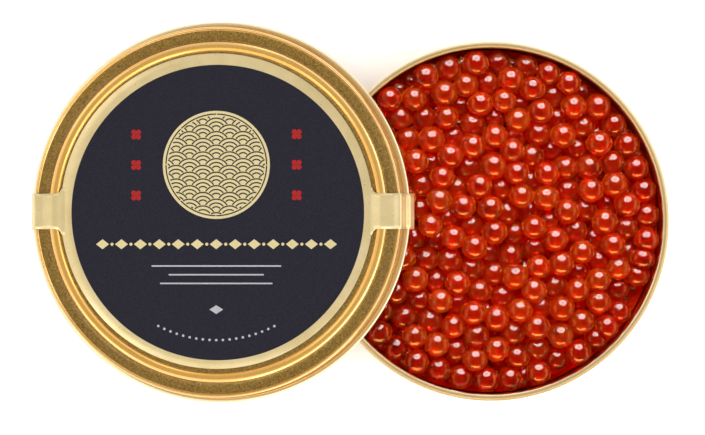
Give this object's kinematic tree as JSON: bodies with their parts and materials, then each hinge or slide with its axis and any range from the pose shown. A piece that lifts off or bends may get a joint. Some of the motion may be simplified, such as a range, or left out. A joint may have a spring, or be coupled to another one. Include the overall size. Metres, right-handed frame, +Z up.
{
  "type": "soy-marinated fish roe in a tin",
  "caption": "Shallow round gold tin filled level with glossy red-orange marinated roe, its own lid with a plain dark label leaning on the rim.",
  "frame": {"origin": "centre of the tin's flat bottom, on the table", "axes": "+Z up out of the open tin; the lid leans at -X; +Y is the upper side of the picture"},
  "size_m": [0.1471, 0.0878, 0.0287],
  "materials": {
    "gold_tinplate": "glossy gold lacquer on tinplate",
    "marinated_roe": "wet, translucent, red-orange",
    "label_paper": "matt black print on satin gold paper"
  },
  "bodies": {
    "root": {"tin": "gold_tinplate", "roe": "marinated_roe", "lid": "gold_tinplate", "lid_label": "label_paper"}
  },
  "joints": []
}
